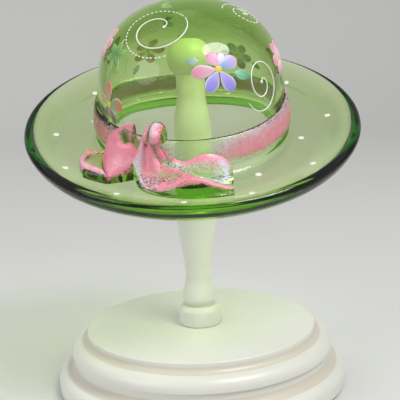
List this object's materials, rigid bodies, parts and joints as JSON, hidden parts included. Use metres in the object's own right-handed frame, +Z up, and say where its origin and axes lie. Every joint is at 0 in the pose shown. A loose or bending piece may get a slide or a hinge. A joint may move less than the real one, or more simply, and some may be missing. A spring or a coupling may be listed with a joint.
{
  "type": "glass hat on a display stand",
  "caption": "Pressed green glass hat with an applied pink band and bow, resting tipped on the ball knob of a turned wooden display stand with a moulded round base.",
  "frame": {"origin": "centre of the base's underside, on the surface the stand rests on", "axes": "+Z up the post, -Y towards the bow and the lowered front of the brim, +X to the right seen from the front"},
  "size_m": [0.23, 0.216, 0.2693],
  "materials": {
    "painted_wood": "creamy white satin paint on turned wood",
    "bare_wood": "bare beech",
    "felt": "pressed felt",
    "steel": "zinc-plated",
    "clear_rubber": "clear soft bumper",
    "green_glass": "polished translucent green",
    "painted_glass": "green glass stippled with pink enamel"
  },
  "bodies": {
    "stand": {"base_felt": "felt", "base_lower": "painted_wood", "base_upper": "painted_wood", "post_screw": "steel", "post": "painted_wood", "knob_dowel": "bare_wood", "knob": "painted_wood", "knob_bumper": "clear_rubber"},
    "hat": {"hat_shell": "green_glass", "hat_band": "painted_glass", "bow_knot": "painted_glass", "bow_left_loop": "painted_glass", "bow_left_tail": "painted_glass", "bow_center_folds": "painted_glass", "bow_right_tail": "painted_glass"}
  },
  "joints": [
    {"name": "hat_lift", "type": "slide", "parent": "stand", "child": "hat", "axis": [0, 0, 1], "range_m": [0, 0.13]}
  ]
}
